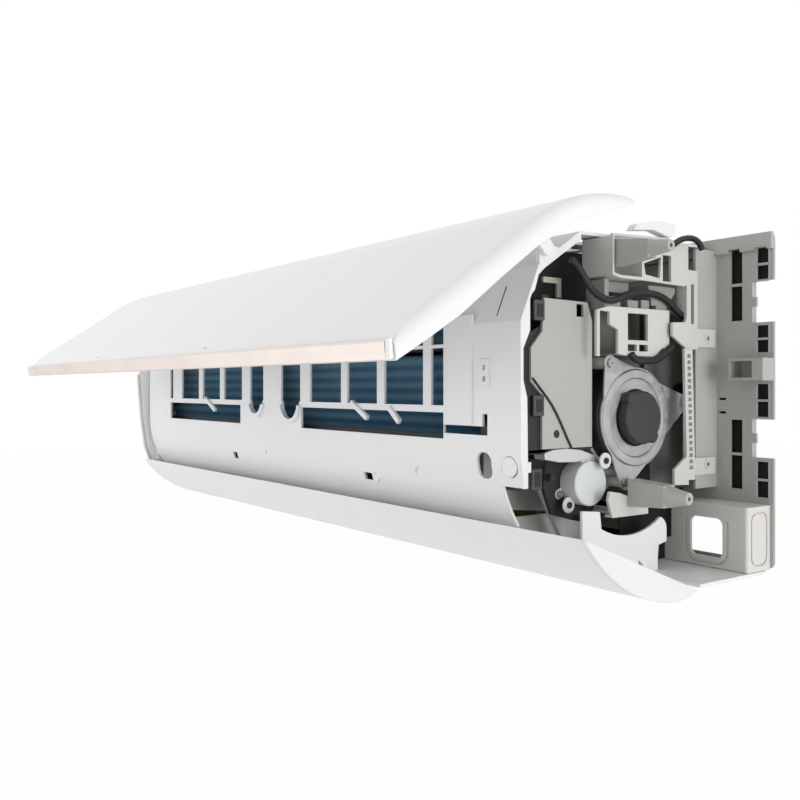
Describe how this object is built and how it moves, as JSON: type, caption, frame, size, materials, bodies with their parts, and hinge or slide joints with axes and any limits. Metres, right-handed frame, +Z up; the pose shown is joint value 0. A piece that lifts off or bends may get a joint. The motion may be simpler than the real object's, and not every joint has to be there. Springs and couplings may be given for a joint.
{
  "type": "mini split indoor unit",
  "caption": "Wall-mounted mini split indoor unit with lifted front panel, open service end, evaporator, cross-flow fan and motor-driven louvre.",
  "frame": {"origin": "middle of the chassis face that lies on the wall", "axes": "+X along the unit to its service end, +Y into the wall, +Z up"},
  "size_m": [0.878, 0.4022, 0.3012],
  "materials": {
    "white_plastic": "smooth white moulded housing plastic",
    "white_matte": "fine-textured white moulded plastic",
    "chassis_grey": "matte warm grey moulded plastic",
    "light_grey": "matte light grey moulded plastic",
    "dark_plastic": "matte near-black moulded plastic",
    "duct_dark": "matte dark grey duct plastic",
    "fan_plastic": "dark glass-filled plastic",
    "fin_coating": "dark blue-green coated aluminium fins",
    "copper": "drawn copper tube",
    "brass": "machined brass",
    "galvanised": "bright galvanised sheet",
    "steel": "zinc-plated steel",
    "resin": "moulded grey-beige motor resin",
    "rubber": "black rubber",
    "trim_gold": "pale rose-gold satin trim",
    "board": "green circuit board with components",
    "cable_black": "black cable jacket",
    "bare_aluminium": "satin aluminium can"
  },
  "bodies": {
    "unit": {"rear_chassis": "chassis_grey", "pipe_corner": "chassis_grey", "bottom_cover": "white_matte", "scroll_housing": "light_grey", "drain_pan": "duct_dark", "front_casing": "white_matte", "left_end_cap": "white_plastic", "left_side_trim": "trim_gold", "coil_lower_front": "fin_coating", "coil_upper_front": "fin_coating", "coil_rear": "fin_coating", "coil_end_plates": "galvanised", "coil_bends": "copper", "gas_pipe": "copper", "liquid_pipe": "copper", "flare_unions": "brass", "fan_bearing": "rubber", "motor_body": "resin", "motor_cap": "dark_plastic", "motor_clamp": "galvanised", "clamp_screws": "steel", "motor_cradle": "light_grey", "service_wall": "light_grey", "upper_post": "light_grey", "lower_post": "light_grey", "motor_foot": "light_grey", "upper_frame": "chassis_grey", "motor_bracket": "light_grey", "perforated_strip": "light_grey", "top_hook": "white_matte", "control_box": "dark_plastic", "control_box_cover": "chassis_grey", "circuit_board": "board", "terminal_block": "dark_plastic", "earth_strip": "steel", "louvre_motor": "bare_aluminium", "louvre_motor_bracket": "dark_plastic", "small_screws": "steel"},
    "fan": {"cross_flow_fan": "fan_plastic", "fan_shaft": "steel", "motor_shaft": "steel"},
    "panel": {"front_panel": "white_plastic", "panel_trim": "trim_gold"},
    "flap": {"louvre": "white_plastic", "louvre_end_caps": "white_plastic"},
    "crank": {"louvre_crank": "dark_plastic"},
    "link": {"louvre_link": "dark_plastic"},
    "button": {"manual_button": "white_matte"},
    "left_bar": {"left_vane_bar": "duct_dark"},
    "right_bar": {"right_vane_bar": "duct_dark"},
    "vane_1_body": {"vane_1": "duct_dark"},
    "vane_2_body": {"vane_2": "duct_dark"},
    "vane_3_body": {"vane_3": "duct_dark"},
    "vane_4_body": {"vane_4": "duct_dark"},
    "vane_5_body": {"vane_5": "duct_dark"},
    "vane_6_body": {"vane_6": "duct_dark"},
    "vane_7_body": {"vane_7": "duct_dark"},
    "vane_8_body": {"vane_8": "duct_dark"}
  },
  "joints": [
    {"name": "fan_spin", "type": "hinge", "parent": "unit", "child": "fan", "pos_m": [-0.049, -0.105, -0.014], "axis": [1, 0, 0], "continuous": true},
    {"name": "panel_lift", "type": "hinge", "parent": "unit", "child": "panel", "pos_m": [0, -0.2074, 0.1187], "axis": [1, 0, 0], "range_deg": [-6, 60]},
    {"name": "louvre_open", "type": "hinge", "parent": "unit", "child": "flap", "pos_m": [0, -0.114, -0.138], "axis": [1, 0, 0], "range_deg": [0, 75]},
    {"name": "crank_turn", "type": "hinge", "parent": "unit", "child": "crank", "pos_m": [0.329, -0.15, -0.075], "axis": [1, 0, 0], "range_deg": [0, 75]},
    {"name": "link_turn", "type": "hinge", "parent": "crank", "child": "link", "pos_m": [0.321, -0.17175, -0.06486], "axis": [1, 0, 0], "range_deg": [-75, 0]},
    {"name": "button_press", "type": "slide", "parent": "unit", "child": "button", "axis": [0, 1, 0], "range_m": [0, 0.001], "stiffness_N_per_m": 800},
    {"name": "vane_1_swing", "type": "hinge", "parent": "unit", "child": "vane_1_body", "pos_m": [-0.345, -0.116, -0.085], "axis": [0, 0, 1], "range_deg": [-30, 30]},
    {"name": "vane_2_swing", "type": "hinge", "parent": "unit", "child": "vane_2_body", "pos_m": [-0.267, -0.116, -0.085], "axis": [0, 0, 1], "range_deg": [-30, 30]},
    {"name": "vane_3_swing", "type": "hinge", "parent": "unit", "child": "vane_3_body", "pos_m": [-0.189, -0.116, -0.085], "axis": [0, 0, 1], "range_deg": [-30, 30]},
    {"name": "vane_4_swing", "type": "hinge", "parent": "unit", "child": "vane_4_body", "pos_m": [-0.111, -0.116, -0.085], "axis": [0, 0, 1], "range_deg": [-30, 30]},
    {"name": "vane_5_swing", "type": "hinge", "parent": "unit", "child": "vane_5_body", "pos_m": [0.012, -0.116, -0.085], "axis": [0, 0, 1], "range_deg": [-30, 30]},
    {"name": "vane_6_swing", "type": "hinge", "parent": "unit", "child": "vane_6_body", "pos_m": [0.09, -0.116, -0.085], "axis": [0, 0, 1], "range_deg": [-30, 30]},
    {"name": "vane_7_swing", "type": "hinge", "parent": "unit", "child": "vane_7_body", "pos_m": [0.168, -0.116, -0.085], "axis": [0, 0, 1], "range_deg": [-30, 30]},
    {"name": "vane_8_swing", "type": "hinge", "parent": "unit", "child": "vane_8_body", "pos_m": [0.246, -0.116, -0.085], "axis": [0, 0, 1], "range_deg": [-30, 30]},
    {"name": "left_bar_turn", "type": "hinge", "parent": "vane_1_body", "child": "left_bar", "pos_m": [-0.345, -0.142, -0.069], "axis": [0, 0, 1], "range_deg": [-30, 30]},
    {"name": "right_bar_turn", "type": "hinge", "parent": "vane_5_body", "child": "right_bar", "pos_m": [0.012, -0.142, -0.069], "axis": [0, 0, 1], "range_deg": [-30, 30]}
  ],
  "couplings": [
    {"joint": "crank_turn", "follows": "louvre_open", "ratio": 1},
    {"joint": "link_turn", "follows": "louvre_open", "ratio": -1},
    {"joint": "vane_2_swing", "follows": "vane_1_swing", "ratio": 1},
    {"joint": "vane_3_swing", "follows": "vane_1_swing", "ratio": 1},
    {"joint": "vane_4_swing", "follows": "vane_1_swing", "ratio": 1},
    {"joint": "vane_6_swing", "follows": "vane_5_swing", "ratio": 1},
    {"joint": "vane_7_swing", "follows": "vane_5_swing", "ratio": 1},
    {"joint": "vane_8_swing", "follows": "vane_5_swing", "ratio": 1},
    {"joint": "left_bar_turn", "follows": "vane_1_swing", "ratio": -1},
    {"joint": "right_bar_turn", "follows": "vane_5_swing", "ratio": -1}
  ]
}
